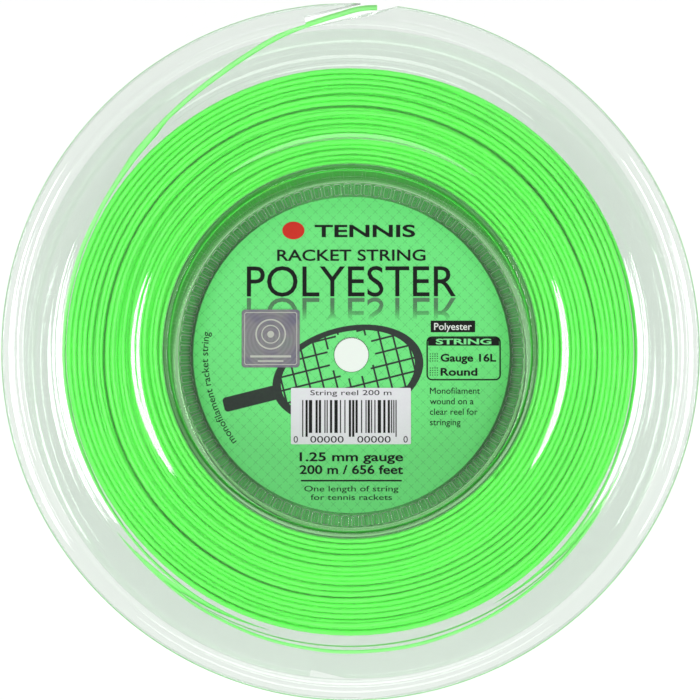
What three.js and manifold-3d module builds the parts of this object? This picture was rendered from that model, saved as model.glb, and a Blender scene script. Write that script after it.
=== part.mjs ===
// Reel of monofilament racket string, lying on its rear rim.
//
// Frame: +Z is the reel's axis and points out of the labelled front face, +X is to the right and
// +Y up for someone who reads the label. The origin is on the axis, in the plane of the rear rim.
// All lengths are millimetres.
//
// The spool is two identical clear mouldings, set back to back. Each one is a flange, half of the
// drum and a web across it. The webs meet in the middle of the reel, so each side has a deep cup.

import * as THREE from 'three';
import Module from 'manifold-3d';
import { mergeGeometries, mergeVertices } from 'three/addons/utils/BufferGeometryUtils.js';

// Overall sizes
const REEL_DIAMETER = 160;
const REEL_WIDTH = 44.5;

// Flange of a half spool, from the rim inwards; recesses are measured from the rim's outer face
const RIM_BEAD_WIDTH = 2.2;
const RIM_BEAD_THICKNESS = 3.2;
const RIM_BEAD_CHAMFER = 0.4;
const BEAD_SLOPE_WIDTH = 1.2;
const PANEL_WIDTH = 3.4;
const PANEL_RECESS = 1.0;
const STEP_SLOPE_WIDTH = 1.6;
const FLANGE_RECESS = 1.4;
const FLANGE_WALL = 1.5;

// Drum and web of a half spool
const DRUM_DIAMETER = 85.4;
const DRUM_WALL = 1.3;
const DRUM_DRAFT = 0.5;
const CUP_MOUTH_FILLET = 1.5;
const WEB_WALL = 1.5;
const BORE_DIAMETER = 8;

// Ring of drive pockets in the cup floor, between the label and the drum
const POCKET_COUNT = 104;
const POCKET_LAND = 0.57;
const POCKET_LENGTH = 2.75;
const POCKET_DEPTH = 0.6;
const POCKET_EDGE_MARGIN = 0.55;

// String and its winding
const STRING_DIAMETER = 1.25;
const WINDING_DIAMETER = 130.6;

// Slit in the rim that holds the string's free end
const SLIT_ANGLE = 85.5;
const SLIT_HEADING = 12.9;
const SLIT_LENGTH = 17;
const SLIT_MOUTH_INSET = 0.3;
const SLIT_CURVE_ROOM = 0.85;

// Front label, which stops short of the pockets, and rear label, which covers them
const LABEL_THICKNESS = 0.2;
const FRONT_LABEL_POCKET_MARGIN = 0.5;
const REAR_LABEL_EDGE_MARGIN = 0.4;
const LABEL_BORE_CLEARANCE = 0.15;

// Seal and barcode sticker, on the front label
const SEAL_SIDE = 13.6;
const SEAL_CORNER = 0.8;
const SEAL_CENTRE = [-18.9, 3.8];
const BARCODE_WIDTH = 28.1;
const BARCODE_HEIGHT = 13.2;
const BARCODE_CORNER = 0.3;
const BARCODE_CENTRE = [-0.1, -14.4];
const STICKER_THICKNESS = 0.15;

// Clearances
const WELD_GAP = 0.3;
const STRING_GAP = 0.3;
const FILM_GAP = 0.1;

// Facets
const ROUND_SEGMENTS = 72;
const FILLET_STEPS = 3;
const CORNER_SEGMENTS = 3;
const CORD_SIDES = 8;
const CORD_STEPS = 80;

// The string's loose last turn and its tail, as [angle in degrees, radius, height] along its middle:
// it bulges off the winding below the drum, lies on it up the left side, springs away near the top
// and ends in the rim's slit.
const STRING_TAIL_ROUTE = [
  [345, 66.25, 33.0],
  [333, 66.7, 32.9],
  [320, 67.5, 32.6],
  [305, 68.3, 32.2],
  [290, 68.8, 31.8],
  [275, 69.0, 31.5],
  [260, 68.8, 31.6],
  [245, 68.2, 32.0],
  [230, 67.3, 32.8],
  [216, 66.5, 34.0],
  [203, 66.25, 35.4],
  [190, 66.25, 37.0],
  [177, 66.25, 38.6],
  [164, 66.25, 39.8],
  [152, 66.3, 40.3],
  [142, 66.7, 40.4],
  [133, 67.6, 40.4],
  [124, 69.0, 40.4],
  [116, 70.6, 40.4],
  [109, 72.5, 40.4],
  [103, 74.5, 40.4],
  [98, 76.0, 40.45],
  [94, 77.15, 40.9],
  [91.5, 77.9, 41.5],
  [89.5, 78.6, 42.1],
  [87.5, 79.1, 42.6],
  [85.5, 79.35, 42.8],
];

// Sizes worked out from the ones above
const rimRadius = REEL_DIAMETER / 2;
const beadRadius = rimRadius - RIM_BEAD_WIDTH;
const panelRadius = beadRadius - BEAD_SLOPE_WIDTH;
const stepRadius = panelRadius - PANEL_WIDTH;
const flangeRadius = stepRadius - STEP_SLOPE_WIDTH;
const drumRadius = DRUM_DIAMETER / 2;
const drumMiddleRadius = drumRadius - DRUM_DRAFT;
const cupMouthRadius = drumRadius - DRUM_WALL;
const cupFloorRadius = cupMouthRadius - DRUM_DRAFT;
const boreRadius = BORE_DIAMETER / 2;
const stringRadius = STRING_DIAMETER / 2;

const webInnerHeight = (REEL_WIDTH - WELD_GAP) / 2;
const webOuterHeight = webInnerHeight - WEB_WALL;
const flangeInnerHeight = FLANGE_RECESS + FLANGE_WALL;
const panelInnerHeight = PANEL_RECESS + FLANGE_WALL;
const frontFloorHeight = REEL_WIDTH - webOuterHeight;

const pocketOuterRadius = cupFloorRadius - POCKET_EDGE_MARGIN;
const pocketInnerRadius = pocketOuterRadius - POCKET_LENGTH;
const pocketMiddleRadius = (pocketOuterRadius + pocketInnerRadius) / 2;
const frontLabelRadius = pocketInnerRadius - FRONT_LABEL_POCKET_MARGIN;
const rearLabelRadius = cupFloorRadius - REAR_LABEL_EDGE_MARGIN;

const wasm = await Module();
wasm.setup();

function material(colour, roughness, opacity = 1) {
  return new THREE.MeshStandardMaterial({
    color: colour,
    roughness: roughness,
    metalness: 0,
    opacity: opacity,
    transparent: opacity < 1,
  });
}

function polar(angleDegrees, radius, height) {
  const angle = THREE.MathUtils.degToRad(angleDegrees);
  return new THREE.Vector3(radius * Math.cos(angle), radius * Math.sin(angle), height);
}

// Turns a closed outline of [radius, height] points about the Z axis. The outline runs anticlockwise
// when the radius is drawn to the right and the height upwards.
function turned(outline) {
  const points = [...outline, outline[0]].map(([radius, height]) => new THREE.Vector2(radius, height));
  const geometry = new THREE.LatheGeometry(points, ROUND_SEGMENTS);
  return geometry.rotateX(Math.PI / 2);
}

function toSolid(geometry) {
  const bare = geometry.index ? geometry.toNonIndexed() : geometry.clone();
  bare.deleteAttribute('normal');
  bare.deleteAttribute('uv');
  const merged = mergeVertices(bare);
  return new wasm.Manifold(new wasm.Mesh({
    numProp: 3,
    vertProperties: new Float32Array(merged.attributes.position.array),
    triVerts: new Uint32Array(merged.index.array),
  }));
}

function toGeometry(solid) {
  const mesh = solid.getMesh();
  const geometry = new THREE.BufferGeometry();
  geometry.setAttribute('position', new THREE.BufferAttribute(mesh.vertProperties, 3));
  geometry.setIndex(new THREE.BufferAttribute(mesh.triVerts, 1));
  geometry.computeVertexNormals();
  return geometry;
}

// Outline of a half spool. Height 0 is the rim's outer face, and heights grow into the reel.
function halfSpoolOutline() {
  const fillet = [];
  for (let step = 0; step <= FILLET_STEPS; step += 1) {
    const turn = (step / FILLET_STEPS) * (Math.PI / 2);
    fillet.push([
      cupMouthRadius + CUP_MOUTH_FILLET * (1 - Math.cos(turn)),
      FLANGE_RECESS + CUP_MOUTH_FILLET * (1 - Math.sin(turn)),
    ]);
  }
  return [
    [boreRadius, webInnerHeight],
    [boreRadius, webOuterHeight],
    [cupFloorRadius, webOuterHeight],
    ...fillet,
    [flangeRadius, FLANGE_RECESS],
    [stepRadius, PANEL_RECESS],
    [panelRadius, PANEL_RECESS],
    [beadRadius, 0],
    [rimRadius - RIM_BEAD_CHAMFER, 0],
    [rimRadius, RIM_BEAD_CHAMFER],
    [rimRadius, RIM_BEAD_THICKNESS - RIM_BEAD_CHAMFER],
    [rimRadius - RIM_BEAD_CHAMFER, RIM_BEAD_THICKNESS],
    [beadRadius, RIM_BEAD_THICKNESS],
    [panelRadius, panelInnerHeight],
    [stepRadius, panelInnerHeight],
    [flangeRadius, flangeInnerHeight],
    [drumRadius, flangeInnerHeight],
    [drumMiddleRadius, webInnerHeight],
  ];
}

// The drive pockets are blind recesses in the cup floor. A cutter starts inside the cup.
function pocketCutters() {
  const pocketWidth = (2 * Math.PI * pocketMiddleRadius) / POCKET_COUNT - POCKET_LAND;
  const cutters = [];
  for (let index = 0; index < POCKET_COUNT; index += 1) {
    const cutter = new THREE.BoxGeometry(POCKET_LENGTH, pocketWidth, 2 * POCKET_DEPTH);
    cutter.translate(pocketMiddleRadius, 0, webOuterHeight);
    cutter.rotateZ((index / POCKET_COUNT) * 2 * Math.PI);
    cutters.push(cutter);
  }
  return toSolid(mergeGeometries(cutters));
}

// The slit runs in from the rim at a slant and goes right through the flange. It is placed on the
// front flange and turned over, because a half spool is drawn as the rear one.
function slitCutter() {
  const slitWidth = STRING_DIAMETER + 2 * STRING_GAP + SLIT_CURVE_ROOM;
  const cutter = new THREE.BoxGeometry(2 * SLIT_LENGTH, slitWidth, 4 * RIM_BEAD_THICKNESS);
  const mouth = polar(SLIT_ANGLE, rimRadius - SLIT_MOUTH_INSET, 0);
  cutter.rotateZ(THREE.MathUtils.degToRad(SLIT_HEADING));
  cutter.translate(mouth.x, mouth.y, mouth.z);
  cutter.rotateX(Math.PI);
  return toSolid(cutter);
}

function halfSpool(name) {
  const body = toSolid(turned(halfSpoolOutline()));
  const cut = body.subtract(pocketCutters()).subtract(slitCutter());
  const mesh = new THREE.Mesh(toGeometry(cut), material(0xdfe8e0, 0.08, 0.35));
  mesh.name = name;
  return mesh;
}

// The front half is the same moulding, turned over about X.
function frontHalfSpool() {
  const half = halfSpool('front_half_spool');
  half.rotation.x = Math.PI;
  half.position.z = REEL_WIDTH;
  return half;
}

// The wound string, as one ring of the package's outer shape.
function stringWinding() {
  const bottom = flangeInnerHeight + STRING_GAP;
  const top = REEL_WIDTH - bottom;
  const inner = drumRadius + STRING_GAP;
  const outer = WINDING_DIAMETER / 2;
  const ring = turned([[inner, bottom], [outer, bottom], [outer, top], [inner, top]]);
  const mesh = new THREE.Mesh(ring, material(0x55f04b, 0.3));
  mesh.name = 'string_winding';
  return mesh;
}

function stringTail() {
  const route = new THREE.CatmullRomCurve3(
    STRING_TAIL_ROUTE.map(([angle, radius, height]) => polar(angle, radius, height)),
  );
  const section = new THREE.Shape();
  for (let side = 0; side < CORD_SIDES; side += 1) {
    const angle = ((side + 0.5) / CORD_SIDES) * 2 * Math.PI;
    const x = stringRadius * Math.cos(angle);
    const y = stringRadius * Math.sin(angle);
    if (side === 0) {
      section.moveTo(x, y);
    } else {
      section.lineTo(x, y);
    }
  }
  const tube = new THREE.ExtrudeGeometry(section, { steps: CORD_STEPS, extrudePath: route });
  const mesh = new THREE.Mesh(tube, material(0x55f04b, 0.3));
  mesh.name = 'string_tail';
  return mesh;
}

function roundedRectangle(width, height, corner) {
  const shape = new THREE.Shape();
  const x = width / 2 - corner;
  const y = height / 2 - corner;
  shape.absarc(x, y, corner, 0, Math.PI / 2);
  shape.absarc(-x, y, corner, Math.PI / 2, Math.PI);
  shape.absarc(-x, -y, corner, Math.PI, 1.5 * Math.PI);
  shape.absarc(x, -y, corner, 1.5 * Math.PI, 2 * Math.PI);
  return shape;
}

// A printed film label is a thin ring round the bore.
function label(name, radius, bottom, colour) {
  const inner = boreRadius + LABEL_BORE_CLEARANCE;
  const top = bottom + LABEL_THICKNESS;
  const ring = turned([[inner, bottom], [radius, bottom], [radius, top], [inner, top]]);
  const mesh = new THREE.Mesh(ring, material(colour, 0.35));
  mesh.name = name;
  return mesh;
}

function sticker(name, shape, centre, bottom, colour, roughness) {
  const plate = new THREE.ExtrudeGeometry(shape, {
    depth: STICKER_THICKNESS,
    bevelEnabled: false,
    curveSegments: CORNER_SEGMENTS,
  });
  const mesh = new THREE.Mesh(plate, material(colour, roughness));
  mesh.name = name;
  mesh.position.set(centre[0], centre[1], bottom);
  return mesh;
}

const group = new THREE.Group();

const spool = new THREE.Group();
spool.add(halfSpool('rear_half_spool'));
spool.add(frontHalfSpool());

const frontLabelBottom = frontFloorHeight + FILM_GAP;
const rearLabelBottom = webOuterHeight - FILM_GAP - LABEL_THICKNESS;
const stickerBottom = frontLabelBottom + LABEL_THICKNESS + FILM_GAP;
const sealShape = roundedRectangle(SEAL_SIDE, SEAL_SIDE, SEAL_CORNER);
const barcodeShape = roundedRectangle(BARCODE_WIDTH, BARCODE_HEIGHT, BARCODE_CORNER);
const print = new THREE.Group();
print.add(label('front_label', frontLabelRadius, frontLabelBottom, 0x73eb87));
print.add(label('rear_label', rearLabelRadius, rearLabelBottom, 0x4f8a57));
print.add(sticker('security_seal', sealShape, SEAL_CENTRE, stickerBottom, 0xc9c3d6, 0.25));
print.add(sticker('barcode_sticker', barcodeShape, BARCODE_CENTRE, stickerBottom, 0xf6f6f6, 0.5));

const string = new THREE.Group();
string.add(stringWinding());
string.add(stringTail());

group.add(spool, print, string);

export default group;
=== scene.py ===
"""Looks for a reel of racket string: two clear half spools, wound string, its free end, labels, stickers.

Everything is in metres in the row frame: +Z along the reel's axis and out of the labelled front face,
+X to the right and +Y up for a reader of the label, with the rear rim standing on z = 0.
"""

import logging
import math
import random
from dataclasses import dataclass, field
from enum import Enum
from typing import Any, Iterator, Optional

import bmesh
import bpy
from mathutils import Matrix, Vector


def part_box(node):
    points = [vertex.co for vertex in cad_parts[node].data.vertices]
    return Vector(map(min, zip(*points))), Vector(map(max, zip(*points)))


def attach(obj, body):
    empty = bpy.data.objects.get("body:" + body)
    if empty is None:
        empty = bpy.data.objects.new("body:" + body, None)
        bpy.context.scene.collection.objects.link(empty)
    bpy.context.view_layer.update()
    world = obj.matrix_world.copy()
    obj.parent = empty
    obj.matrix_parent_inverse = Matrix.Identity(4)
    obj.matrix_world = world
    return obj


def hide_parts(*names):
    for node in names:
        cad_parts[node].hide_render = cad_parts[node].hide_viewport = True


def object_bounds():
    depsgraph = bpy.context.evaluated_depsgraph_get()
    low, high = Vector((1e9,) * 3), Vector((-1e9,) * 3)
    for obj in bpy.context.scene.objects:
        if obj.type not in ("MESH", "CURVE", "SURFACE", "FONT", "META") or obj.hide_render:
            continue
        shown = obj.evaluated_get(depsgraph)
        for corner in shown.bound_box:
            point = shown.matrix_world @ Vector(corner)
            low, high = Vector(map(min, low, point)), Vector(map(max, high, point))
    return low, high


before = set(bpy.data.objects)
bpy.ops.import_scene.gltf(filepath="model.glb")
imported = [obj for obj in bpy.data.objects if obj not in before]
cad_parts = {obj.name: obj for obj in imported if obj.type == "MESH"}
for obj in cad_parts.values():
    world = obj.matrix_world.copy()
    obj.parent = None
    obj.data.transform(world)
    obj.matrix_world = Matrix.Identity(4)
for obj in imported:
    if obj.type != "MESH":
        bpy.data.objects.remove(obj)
CAD_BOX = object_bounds()

MM = 0.001
ROOT = "root"
SEED = 1250
log = logging.getLogger("string_reel")


# ---------------------------------------------------------------- shared helpers


def linear(code: str, alpha: float = 1.0) -> tuple[float, float, float, float]:
    """Turns an sRGB hex colour into linear values.

    Args:
        code: The colour as "#rrggbb".
        alpha: The fourth value.

    Returns:
        Red, green, blue and alpha.
    """
    channels = [int(code[i : i + 2], 16) / 255 for i in (1, 3, 5)]
    red, green, blue = (c / 12.92 if c <= 0.04045 else ((c + 0.055) / 1.055) ** 2.4 for c in channels)
    return red, green, blue, alpha


def add_node(
    tree: bpy.types.NodeTree,
    kind: str,
    settings: Optional[dict[str, Any]] = None,
    links: Optional[dict[Any, Any]] = None,
) -> bpy.types.Node:
    """Adds one node to a tree.

    Args:
        tree: The node tree.
        kind: The node's type name.
        settings: Values of the node's own properties.
        links: What each input gets, a socket to link or a plain value.

    Returns:
        The new node.
    """
    node = tree.nodes.new(kind)
    for name, value in (settings or {}).items():
        setattr(node, name, value)
    for name, value in (links or {}).items():
        if isinstance(value, bpy.types.NodeSocket):
            tree.links.new(value, node.inputs[name])
        else:
            node.inputs[name].default_value = value
    return node


def smoothstep(value: float) -> float:
    """Eases a value from 0 to 1, held at both ends."""
    t = min(max(value, 0.0), 1.0)
    return t * t * (3 - 2 * t)


def polar(radius: float, angle: float, height: float = 0.0) -> Vector:
    """The point at a radius and an angle in radians round the reel's axis."""
    return Vector((radius * math.cos(angle), radius * math.sin(angle), height))


def facing(place_at: Vector, back: Vector, up: Vector) -> Matrix:
    """The place of a camera or a lamp that looks away from back, with its top towards up.

    Args:
        place_at: Where it stands.
        back: The unit direction behind it.
        up: Roughly its upward direction.

    Returns:
        Its world matrix.
    """
    right = up.cross(back).normalized()
    turn = Matrix((right, back.cross(right), back)).transposed().to_4x4()
    return Matrix.Translation(place_at) @ turn


def mesh_piece(name: str, bm: bmesh.types.BMesh, smooth: bool = False) -> bpy.types.Object:
    """Makes an object of a bmesh, at the origin, and frees the bmesh.

    Args:
        name: The piece's name.
        bm: The shape, in place.
        smooth: Whether its faces shade smooth.

    Returns:
        The new object, linked to the scene.
    """
    for face in bm.faces:
        face.smooth = smooth
    mesh = bpy.data.meshes.new(name)
    bm.to_mesh(mesh)
    bm.free()
    piece = bpy.data.objects.new(name, mesh)
    bpy.context.scene.collection.objects.link(piece)
    return piece


def baked(piece: bpy.types.Object) -> bpy.types.Object:
    """Turns a curve, a text or a mesh with modifiers into a plain mesh object of the same name.

    Args:
        piece: The object, which is removed.

    Returns:
        The mesh object, at the origin, with the old object's place in its mesh.
    """
    graph = bpy.context.evaluated_depsgraph_get()
    graph.update()
    mesh = bpy.data.meshes.new_from_object(piece.evaluated_get(graph), depsgraph=graph)
    mesh.transform(piece.matrix_world)
    name = piece.name
    bpy.data.objects.remove(piece)
    result = bpy.data.objects.new(name, mesh)
    bpy.context.scene.collection.objects.link(result)
    return result


def place(piece: bpy.types.Object, finish: "Finish", replaces: tuple[str, ...] = ()) -> None:
    """Dresses a new piece, makes it ride on the reel and logs it.

    Args:
        piece: The new piece.
        finish: What it is made of, put on it if it isn't dressed yet.
        replaces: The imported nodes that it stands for.
    """
    if not piece.data.materials:
        piece.data.materials.append(finish.material())
    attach(piece, ROOT)
    if replaces:
        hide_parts(*replaces)
    log.info("made %s in %s", piece.name, finish.name)


def dress(node: str, finish: "Finish") -> None:
    """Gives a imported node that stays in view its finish, and logs it.

    Args:
        node: The node's name.
        finish: What it is made of.
    """
    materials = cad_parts[node].data.materials
    materials.clear()
    materials.append(finish.material())
    log.info("dressed %s in %s", node, finish.name)


# ---------------------------------------------------------------- finishes


@dataclass(frozen=True)
class Finish:
    """A real material as one procedural Blender material."""

    name: str
    slot: str

    def material(self) -> bpy.types.Material:
        """Returns the finish's material, made at its first use."""
        known = bpy.data.materials.get(self.name)
        if known:
            return known
        made = bpy.data.materials.new(self.name)
        made.use_nodes = True
        tree = made.node_tree
        tree.nodes.clear()
        surface = self.surface(tree)
        add_node(tree, "ShaderNodeOutputMaterial", links={"Surface": surface})
        return made

    def surface(self, tree: bpy.types.NodeTree) -> bpy.types.NodeSocket:
        """Builds the shader. Each finish has its own."""
        raise NotImplementedError


@dataclass(frozen=True)
class SeeThrough(Finish):
    """A plastic that lets some of the light straight through."""

    def mixed(
        self, tree: bpy.types.NodeTree, plastic: bpy.types.NodeSocket, tint: str, share: Any
    ) -> bpy.types.NodeSocket:
        """Mixes the plastic with the light that goes straight through it.

        Args:
            tree: The material's tree.
            plastic: The plastic's own shader.
            tint: The colour of the light that passes.
            share: How much of it passes, as a number or a socket.

        Returns:
            The mixed shader.
        """
        passed = add_node(tree, "ShaderNodeBsdfTransparent", links={"Color": linear(tint)})
        return add_node(
            tree, "ShaderNodeMixShader", links={0: share, 1: plastic, 2: passed.outputs[0]}
        ).outputs[0]


@dataclass(frozen=True)
class ClearPolystyrene(SeeThrough):
    """Crystal polystyrene, injection moulded in a polished tool: clear, bright and faintly grey-green."""

    name: str = "moulded_crystal_polystyrene"
    slot: str = "clear_polystyrene"
    tint: str = "#edf3ee"
    lamp_tint: str = "#f2f6f2"
    index: float = 1.59
    roughness: float = 0.035
    clearness: float = 0.99
    ripple: float = 9 * MM
    ripple_depth: float = 0.05 * MM

    def surface(self, tree: bpy.types.NodeTree) -> bpy.types.NodeSocket:
        """Clear plastic with a faint flow ripple, which lets lamps through to what it covers."""
        place_on = add_node(tree, "ShaderNodeTexCoord").outputs["Object"]
        flow = add_node(
            tree, "ShaderNodeTexNoise", links={"Vector": place_on, "Scale": 1 / self.ripple, "Detail": 1.0}
        )
        bump = add_node(
            tree,
            "ShaderNodeBump",
            links={"Height": flow.outputs["Fac"], "Strength": 0.25, "Distance": self.ripple_depth},
        )
        clear = add_node(
            tree,
            "ShaderNodeBsdfPrincipled",
            links={
                "Base Color": linear(self.tint),
                "Roughness": self.roughness,
                "IOR": self.index,
                "Transmission Weight": self.clearness,
                "Normal": bump.outputs["Normal"],
            },
        )
        ray = add_node(tree, "ShaderNodeLightPath")
        return self.mixed(tree, clear.outputs[0], self.lamp_tint, ray.outputs["Is Shadow Ray"])


@dataclass(frozen=True)
class FrostedPolystyrene(SeeThrough):
    """The same plastic where the tool was spark eroded: the pockets' matt walls show as pale lines."""

    name: str = "spark_eroded_polystyrene"
    slot: str = "clear_polystyrene"
    colour: str = "#dfeadf"
    passing_tint: str = "#e4ece6"
    see_through: float = 0.4
    grit: float = 0.08 * MM
    grit_depth: float = 0.01 * MM

    def surface(self, tree: bpy.types.NodeTree) -> bpy.types.NodeSocket:
        """Pale, half clear plastic with the grit of an eroded tool."""
        place_on = add_node(tree, "ShaderNodeTexCoord").outputs["Object"]
        grit = add_node(tree, "ShaderNodeTexNoise", links={"Vector": place_on, "Scale": 1 / self.grit})
        bump = add_node(
            tree,
            "ShaderNodeBump",
            links={"Height": grit.outputs["Fac"], "Strength": 0.3, "Distance": self.grit_depth},
        )
        matt = add_node(
            tree,
            "ShaderNodeBsdfPrincipled",
            links={
                "Base Color": linear(self.colour),
                "Roughness": 0.45,
                "IOR": 1.59,
                "Normal": bump.outputs["Normal"],
            },
        )
        return self.mixed(tree, matt.outputs[0], self.passing_tint, self.see_through)


@dataclass(frozen=True)
class DrumWallPolystyrene(SeeThrough):
    """The drum's thin wall: clear plastic with the string's green light painted into its see-through tint."""

    name: str = "thin_drum_wall_polystyrene"
    slot: str = "clear_polystyrene"
    tint: str = "#edf3ee"
    # Painted light: this green stands in for the string's light shining through the wall
    painted_string_glow: str = "#c4edc0"
    see_through: float = 0.7

    def surface(self, tree: bpy.types.NodeTree) -> bpy.types.NodeSocket:
        """Clear plastic too thin to bend the view much: most of what is behind it shows straight through."""
        clear = add_node(
            tree,
            "ShaderNodeBsdfPrincipled",
            links={
                "Base Color": linear(self.tint),
                "Roughness": 0.06,
                "IOR": 1.59,
                "Transmission Weight": 0.99,
            },
        )
        return self.mixed(tree, clear.outputs[0], self.painted_string_glow, self.see_through)


@dataclass(frozen=True)
class PolyesterString(Finish):
    """Extruded co-polyester monofilament: an even fluorescent green with a soft gloss."""

    name: str = "extruded_co_polyester"
    slot: str = "polyester_string"
    colour: str = "#66f654"
    shade: str = "#52ee48"
    # Light that goes through the strand and out at its edges, which keeps them from turning dark
    edge: str = "#a6ff74"
    edge_light: float = 0.4
    edge_spread: float = 0.4
    gloss: tuple[float, float] = (0.26, 0.38)
    cloud: float = 14 * MM

    def surface(self, tree: bpy.types.NodeTree) -> bpy.types.NodeSocket:
        """Green plastic whose dye and gloss drift slowly along the string."""
        place_on = add_node(tree, "ShaderNodeTexCoord").outputs["Object"]
        drift = add_node(
            tree, "ShaderNodeTexNoise", links={"Vector": place_on, "Scale": 1 / self.cloud, "Detail": 3.0}
        )
        colour = add_node(
            tree,
            "ShaderNodeMix",
            {"data_type": "RGBA"},
            {0: drift.outputs["Fac"], 6: linear(self.colour), 7: linear(self.shade)},
        )
        roughness = add_node(
            tree,
            "ShaderNodeMapRange",
            links={"Value": drift.outputs["Fac"], "To Min": self.gloss[0], "To Max": self.gloss[1]},
        )
        shader = add_node(
            tree,
            "ShaderNodeBsdfPrincipled",
            links={
                "Base Color": colour.outputs[2],
                "Roughness": roughness.outputs[0],
                "IOR": 1.57,
                "Sheen Weight": self.edge_light,
                "Sheen Roughness": self.edge_spread,
                "Sheen Tint": linear(self.edge),
            },
        )
        return shader.outputs[0]


@dataclass(frozen=True)
class PrintedFilm(Finish):
    """Satin film printed light green with faint small crosses; painted shade deepens it to its lower right.
    """

    name: str = "printed_satin_film_with_painted_shade"
    slot: str = "printed_label"
    light: str = "#6ef083"
    # Painted shade: the darker green that the label's lower right is mixed towards
    shaded_green: str = "#6bec7e"
    cross: str = "#3fb558"
    cross_pitch: float = 2.8 * MM
    cross_width: float = 0.028
    cross_reach: float = 0.19
    cross_strength: float = 0.6
    label_radius: float = 37.1 * MM
    # The direction in which the painted shade deepens the green, and where that starts as a share of the
    # radius
    shade_way: tuple[float, float, float] = (0.62, -0.78, 0.0)
    shade_start: float = -0.1

    def cross_mask(self, tree: bpy.types.NodeTree, place_on: bpy.types.NodeSocket, shift: float) -> Any:
        """Masks one lattice of small crosses.

        Args:
            tree: The material's tree.
            place_on: Object coordinates.
            shift: How far the lattice is shifted each way, in cells.

        Returns:
            A socket that is 1 on the crosses.
        """
        cells = add_node(
            tree,
            "ShaderNodeVectorMath",
            {"operation": "MULTIPLY_ADD"},
            {0: place_on, 1: (1 / self.cross_pitch,) * 3, 2: (100 + shift, 100 + shift, 0)},
        )
        cell = add_node(tree, "ShaderNodeVectorMath", {"operation": "FRACTION"}, {0: cells.outputs[0]})
        centred = add_node(
            tree, "ShaderNodeVectorMath", {"operation": "SUBTRACT"}, {0: cell.outputs[0], 1: (0.5, 0.5, 0.0)}
        )
        folded = add_node(tree, "ShaderNodeVectorMath", {"operation": "ABSOLUTE"}, {0: centred.outputs[0]})
        parts = add_node(tree, "ShaderNodeSeparateXYZ", links={0: folded.outputs[0]})
        across = add_node(
            tree, "ShaderNodeMath", {"operation": "SUBTRACT"}, {0: parts.outputs["X"], 1: parts.outputs["Y"]}
        )
        off_line = add_node(tree, "ShaderNodeMath", {"operation": "ABSOLUTE"}, {0: across.outputs[0]})
        on_line = add_node(
            tree, "ShaderNodeMath", {"operation": "LESS_THAN"}, {0: off_line.outputs[0], 1: self.cross_width}
        )
        inside = add_node(
            tree, "ShaderNodeMath", {"operation": "LESS_THAN"}, {0: parts.outputs["X"], 1: self.cross_reach}
        )
        return add_node(
            tree, "ShaderNodeMath", {"operation": "MULTIPLY"}, {0: on_line.outputs[0], 1: inside.outputs[0]}
        ).outputs[0]

    def surface(self, tree: bpy.types.NodeTree) -> bpy.types.NodeSocket:
        """A painted shade gradient on the green, two staggered lattices of crosses, under a satin varnish."""
        place_on = add_node(tree, "ShaderNodeTexCoord").outputs["Object"]
        # Painted shade: the green ground darkens towards the lower right
        slope = add_node(
            tree, "ShaderNodeVectorMath", {"operation": "DOT_PRODUCT"}, {0: place_on, 1: self.shade_way}
        )
        fade = add_node(
            tree,
            "ShaderNodeMapRange",
            {"interpolation_type": "SMOOTHSTEP"},
            {
                "Value": slope.outputs["Value"],
                "From Min": self.shade_start * self.label_radius,
                "From Max": self.label_radius,
            },
        )
        ground = add_node(
            tree,
            "ShaderNodeMix",
            {"data_type": "RGBA"},
            {0: fade.outputs[0], 6: linear(self.light), 7: linear(self.shaded_green)},
        )
        crosses = add_node(
            tree,
            "ShaderNodeMath",
            {"operation": "MAXIMUM"},
            {0: self.cross_mask(tree, place_on, 0.0), 1: self.cross_mask(tree, place_on, 0.5)},
        )
        strength = add_node(
            tree, "ShaderNodeMath", {"operation": "MULTIPLY"}, {0: crosses.outputs[0], 1: self.cross_strength}
        )
        printed = add_node(
            tree,
            "ShaderNodeMix",
            {"data_type": "RGBA"},
            {0: strength.outputs[0], 6: ground.outputs[2], 7: linear(self.cross)},
        )
        shader = add_node(
            tree,
            "ShaderNodeBsdfPrincipled",
            links={"Base Color": printed.outputs[2], "Roughness": 0.42, "IOR": 1.5},
        )
        return shader.outputs[0]


@dataclass(frozen=True)
class Ink(Finish):
    """Printing ink or paper: a flat colour with the faint mottle of a press."""

    slot: str = "printed_label"
    colour: str = "#0b0f0d"
    mottled: str = "#121614"
    roughness: float = 0.6
    sheen: float = 0.2
    grain: float = 0.6 * MM

    def surface(self, tree: bpy.types.NodeTree) -> bpy.types.NodeSocket:
        """Matt colour with a fine mottle."""
        place_on = add_node(tree, "ShaderNodeTexCoord").outputs["Object"]
        mottle = add_node(
            tree, "ShaderNodeTexNoise", links={"Vector": place_on, "Scale": 1 / self.grain, "Detail": 2.0}
        )
        colour = add_node(
            tree,
            "ShaderNodeMix",
            {"data_type": "RGBA"},
            {0: mottle.outputs["Fac"], 6: linear(self.colour), 7: linear(self.mottled)},
        )
        shader = add_node(
            tree,
            "ShaderNodeBsdfPrincipled",
            links={
                "Base Color": colour.outputs[2],
                "Roughness": self.roughness,
                "Specular IOR Level": self.sheen,
            },
        )
        return shader.outputs[0]


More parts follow.
